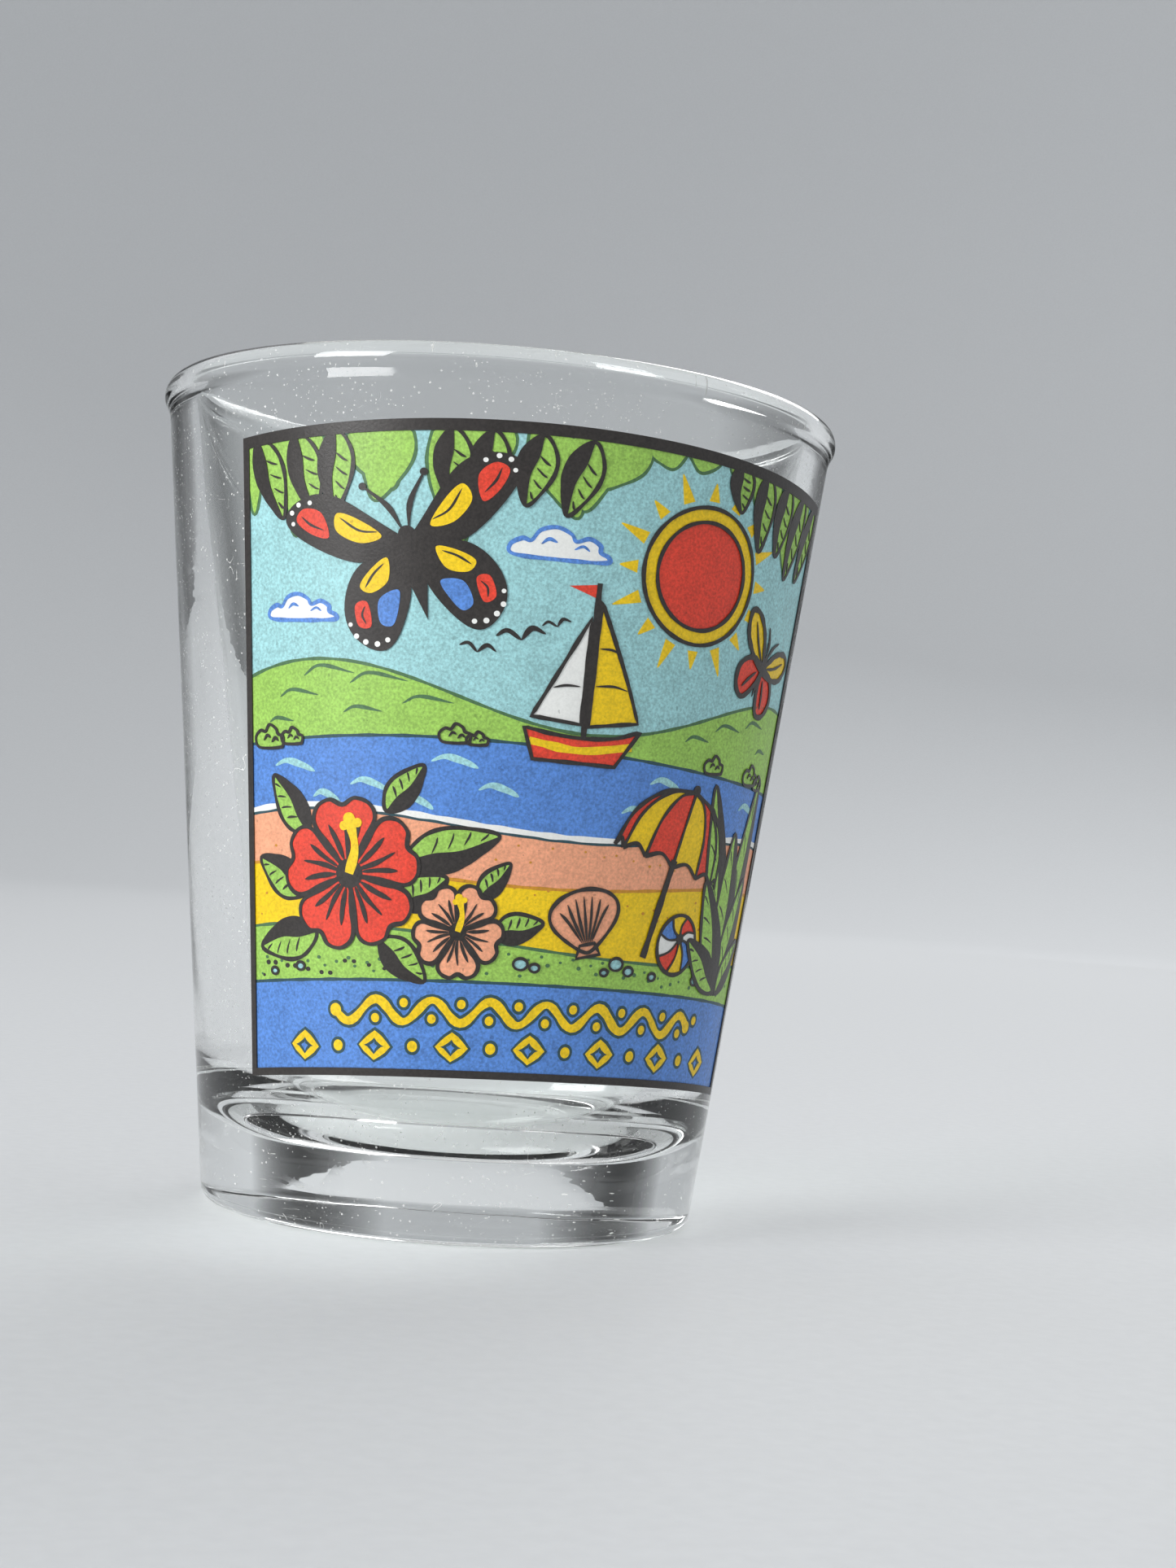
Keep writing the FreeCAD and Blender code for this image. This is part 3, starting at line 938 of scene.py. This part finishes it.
ball_outline = flowing(round_spot(0, 0, ball_radius), True, 2)
ball_lines = [stroke(ball_outline, edge_line, True), filled(round_spot(*cap_place, 0.36))]
ball_gores = {}
for i, ink in enumerate(ball_inks):
    arc = [on_ball_rim(i + k / 8) for k in range(1, 8)]
    gore = ball_seam(i) + arc + ball_seam(i + 1)[:0:-1]
    ball_gores.setdefault(ink, []).append(filled(gore))
    ball_lines.append(stroke(ball_seam(i), 0.16))
for ink, shapes in ball_gores.items():
    printed("ball_" + ink + "_gores", ink, on_details, put(shapes, *ball_place))
printed("ball_lines", "black", key_top, put(ball_lines, *ball_place))

# ---- stippling ----
# Small dots that model the sand, the beach and the grass: ochre where yellow is printed over
# salmon, dark green where green is printed over blue, and a few black ones from the key pass.
dot_squash = 0.8
across_step, up_step, size_step = 0.6180, 0.7549, 0.37      # they spread the dots without rows
stipples = [
    ("sand_stipples", "ochre_shadow", [(46, -20.5, 20.5, 10.6, 12.6, 0.10),
                                       (30, -20.5, 20.5, 14.0, 15.2, 0.09)]),
    ("grass_stipples", "green_shadow", [(60, -20.5, 20.5, 6.7, 8.3, 0.13)]),
    ("grass_specks", "black", [(14, -20.3, -8.0, 6.6, 7.6, 0.17)]),
]
for name, ink, areas in stipples:
    dots = []
    for count, left, right, low, high, radius in areas:
        for k in range(count):
            x = left + (right - left) * (k * across_step % 1.0)
            y = low + (high - low) * (k * up_step % 1.0)
            growth = 0.8 + 0.5 * (k * size_step % 1.0)
            dots += put([filled(round_spot(0, 0, radius * growth, dot_squash))], x, y)
    printed(name, ink, on_fields, dots)

# ---- broad-leaved plant ----
# A tall clump of green leaves at the right-hand edge, each with a black half, edge and veins from
# the key pass. The leaves are listed from the back to the front, and each lies a little higher.
plant_top = 0.210 * mm
leaf_step = 0.006 * mm
plant_ink_proud = 0.003 * mm
plant_leaves = [(17.6, 7.2, -7, 14.6, 2.5), (17.0, 7.2, 17, 14.2, 2.7), (17.4, 6.8, 5, 11.0, 3.0),
                (17.5, 6.8, -15, 8.2, 2.6), (17.2, 6.8, 26, 8.4, 2.7), (17.6, 6.9, -40, 4.6, 2.0),
                (16.9, 6.9, 52, 5.6, 2.2)]
plant_blades, plant_lines = leaves(plant_leaves, 0.3)
blade_tops = [plant_top + leaf_step * i for i in range(len(plant_leaves))]
shapes_of_ink = len(plant_lines) // len(plant_leaves)
line_tops = [top + plant_ink_proud for top in blade_tops for _ in range(shapes_of_ink)]
printed("plant_blades", "green", blade_tops, plant_blades)
printed("plant_lines", "black", line_tops, plant_lines)

# ---- ornament on the band ----
# A running wave with dots in its hollows, over a row of diamonds and dots. It is yellow enamel,
# with a dark edge where it overlaps the band's blue.
wave_height = 4.25
wave_swell = 0.72
wave_length = 4.0
wave_reach = 14.0
wave_steps = 56
row_height = 1.95
row_step = 2.75
dot_edge = 0.2
wave = []
for i in range(-wave_steps, wave_steps + 1):
    x = wave_reach * i / wave_steps
    rise = wave_swell * math.sin(2 * math.pi * x / wave_length)
    wave.append(Vector((x, wave_height + rise - drop(x))))
band_yellow = [stroke(wave, 0.55)]
band_dark = [stroke(wave, 0.95)]
dots = [(-wave_reach, wave_height, 0.42), (wave_reach, wave_height, 0.42)]
for k in range(-3, 4):
    dots += [(wave_length * k + 1.0, 3.75, 0.3), (wave_length * k + 3.0, 4.75, 0.3)]
dots += [(row_step * k, row_height, 0.36) for k in range(-5, 6, 2)]
for x, y, radius in dots:
    band_yellow += put([filled(round_spot(0, 0, radius))], x, y)
    band_dark += put([filled(round_spot(0, 0, radius + dot_edge))], x, y)
diamond = corners([(0.95, 0.0), (0.0, 0.75), (-0.95, 0.0), (0.0, -0.75)])
for k in range(-6, 7, 2):
    band_yellow += put([stroke(diamond, 0.42, True)], row_step * k, row_height)
    band_dark += put([stroke(diamond, 0.80, True)], row_step * k, row_height)
printed("ornament_edge", "blue_shadow", on_fields, band_dark)
printed("ornament", "yellow", on_shapes, band_yellow)

# ---- table and backdrop ----
# One plain pale sheet with a faint grain. It lies flat as the table top round the glass, and
# curves up all round into the backdrop.
table_reach = 1.0
cove_bend = 0.6
cove_steps = 24
backdrop_height = 0.9
sheet_sides = 96


def pale_sheet():
    """The sheet's finish: matt, between two near greys."""
    finish = Finish("pale_table")
    grain = finish.noise(finish.node("TexCoord").out("Object"), 900.0)
    tint = finish.mixed(grain, as_light((214, 216, 218)), as_light((222, 224, 226)))
    return finish.show(finish.node("BsdfPrincipled", {}, {"Base Color": tint, "Roughness": 0.7}))


profile = [(0.05, 0.0), (0.4, 0.0), (table_reach, 0.0)]
for i in range(1, cove_steps + 1):
    angle = math.pi / 2 * i / cove_steps
    profile.append((table_reach + cove_bend * math.sin(angle), cove_bend - cove_bend * math.cos(angle)))
profile.append((table_reach + cove_bend, backdrop_height))
sheet_points = [(0, 0, 0)]
sheet_faces = [(0, 1 + i, 1 + (i + 1) % sheet_sides) for i in range(sheet_sides)]
for row, (radius, height) in enumerate(profile):
    outer = 1 + row * sheet_sides
    inner = outer - sheet_sides
    for i in range(sheet_sides):
        j = (i + 1) % sheet_sides
        angle = 2 * math.pi * i / sheet_sides
        sheet_points.append((radius * math.cos(angle), radius * math.sin(angle), height))
        if row:
            sheet_faces.append((inner + i, outer + i, outer + j, inner + j))
table = built("table", sheet_points, sheet_faces, pale_sheet(), smooth=True)

# ---- light ----
# A low soft box with a grid stands on the left, like a window. A weak one fills from the right, a
# third one stands high behind the glass for its rim, and an even pale room gives the rest.


def soft_box(name, place, aim, size, watts, spread=180.0):
    """A flat lamp that faces a point. Its grid holds the light to a spread in degrees."""
    lamp = bpy.data.lights.new(name, "AREA")
    lamp.shape = "RECTANGLE"
    lamp.size, lamp.size_y = size
    lamp.energy = watts
    lamp.spread = math.radians(spread)
    made = bpy.data.objects.new(name, lamp)
    made.location = place
    made.rotation_euler = (Vector(aim) - Vector(place)).to_track_quat("-Z", "Y").to_euler()
    bpy.context.scene.collection.objects.link(made)


soft_box("window_side", (-0.88, -0.40, 0.34), (0, 0, 0.15), size=(0.46, 0.50), watts=1.45, spread=70.0)
soft_box("fill_side", (0.80, -0.66, 0.50), (0, 0, 0.03), size=(0.60, 0.60), watts=0.5)
soft_box("rim_side", (0.62, 0.84, 0.72), (0, 0, 0.03), size=(0.50, 0.50), watts=3.2)
world = bpy.data.worlds.new("room")
world.use_nodes = True
room = world.node_tree.nodes["Background"]
room.inputs["Color"].default_value = (0.80, 0.81, 0.82, 1.0)
room.inputs["Strength"].default_value = 0.78
bpy.context.scene.world = world

# ---- edge cards ----
# Two dark cards stand behind the glass, to its right and left. They are hidden from the camera
# and show in the glass, where they draw its edges. They fade out to their sides and top.
card_distance = 0.85
card_height = 0.60
card_lift = 0.002


def faded_black():
    """Black that fades out to both sides and to the top."""
    finish = Finish("card_black")
    place = finish.node("SeparateXYZ", {}, {"Vector": finish.node("TexCoord").out("Generated")})
    across = 2 * place - 1
    up = place.out("Z")
    black = finish.node("BsdfPrincipled", {}, {"Base Color": (0.03, 0.03, 0.03, 1.0), "Roughness": 0.9})
    cover = (1 - across * across) * (1 - up * up)
    clear = finish.node("BsdfTransparent")
    return finish.show(finish.node("MixShader", {}, {0: cover, 1: clear, 2: black}))


def edge_card(name, bearing, width, black):
    """A standing card that faces the glass from a bearing, in degrees from +X towards +Y."""
    foot = [(-width / 2, 0, card_lift), (width / 2, 0, card_lift)]
    head = [(width / 2, 0, card_height), (-width / 2, 0, card_height)]
    made = built(name, foot + head, [(0, 1, 2, 3)], black)
    angle = math.radians(bearing)
    made.location = (card_distance * math.cos(angle), card_distance * math.sin(angle), 0)
    made.rotation_euler = (0, 0, angle + math.pi / 2)
    made.visible_camera = False
    made.visible_diffuse = False
    made.visible_shadow = False


card_black = faded_black()
edge_card("right_edge_card", 54.0, 0.42, card_black)
edge_card("left_edge_card", 104.0, 0.44, card_black)

# ---- camera ----
# A plain camera in front of the glass, a little to its left and a little below its middle. It
# looks slightly up and is rolled by four degrees.
camera_place = Vector((-40.53, -163.18, 24.77)) * mm
forward = Vector((0.2868, 0.9573, 0.0361)).normalized()
right = Vector((0.9548, -0.2888, 0.0706)).normalized()
up = right.cross(forward).normalized()
right = forward.cross(up)
turn = Matrix((right, up, -forward)).transposed()
eye = bpy.data.cameras.new("camera")
eye.sensor_width = 36.0
eye.lens = 53.74
eye.clip_start = 0.01
eye.clip_end = 20.0
camera = bpy.data.objects.new("camera", eye)
camera.matrix_world = Matrix.Translation(camera_place) @ turn.to_4x4()
bpy.context.scene.collection.objects.link(camera)
bpy.context.scene.camera = camera
bpy.context.scene.view_settings.view_transform = "Standard"
